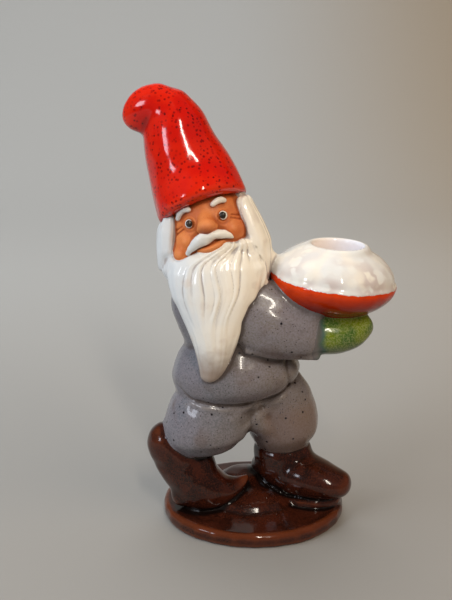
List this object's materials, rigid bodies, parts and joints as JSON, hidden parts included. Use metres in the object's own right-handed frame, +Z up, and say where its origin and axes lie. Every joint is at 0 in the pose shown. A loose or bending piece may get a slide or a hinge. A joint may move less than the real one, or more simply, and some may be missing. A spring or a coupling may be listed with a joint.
{
  "type": "gnome figurine candle holder",
  "caption": "Glazed ceramic gnome with a tall hat that walks on an oval plinth and carries a bowl, with a round recess for a candle in its heaped top.",
  "frame": {"origin": "centre of the flat underside of the oval plinth", "axes": "+Z up; +X the way the gnome walks and carries the bowl; -Y the side its face turns to"},
  "size_m": [0.1261, 0.077, 0.209],
  "materials": {
    "brown_glaze": "dark brown gloss glaze, redder where it thins",
    "grey_glaze": "grey-mauve gloss glaze with fine dark specks",
    "green_glaze": "mottled green gloss glaze with grey edges",
    "red_glaze": "red-orange gloss glaze with fine dark specks",
    "orange_glaze": "orange-red gloss glaze",
    "white_glaze": "cream-white gloss glaze, grey where it pools",
    "bare_clay": "unglazed matt terracotta",
    "black_glaze": "black-brown gloss glaze"
  },
  "bodies": {
    "root": {"plinth": "brown_glaze", "left_sole": "brown_glaze", "right_boot": "brown_glaze", "left_boot": "brown_glaze", "right_trouser_leg": "grey_glaze", "left_trouser_leg": "grey_glaze", "coat": "grey_glaze", "right_sleeve": "grey_glaze", "left_sleeve": "grey_glaze", "right_mitten": "green_glaze", "left_mitten": "green_glaze", "bowl": "orange_glaze", "porridge_mound": "white_glaze", "head": "bare_clay", "right_eye": "white_glaze", "left_eye": "white_glaze", "right_pupil": "black_glaze", "left_pupil": "black_glaze", "moustache": "white_glaze", "lower_lip": "bare_clay", "right_eyebrow": "white_glaze", "left_eyebrow": "white_glaze", "hat": "red_glaze", "right_hair_lock": "white_glaze", "left_hair_lock": "white_glaze", "back_hair": "white_glaze", "beard": "white_glaze"}
  },
  "joints": []
}
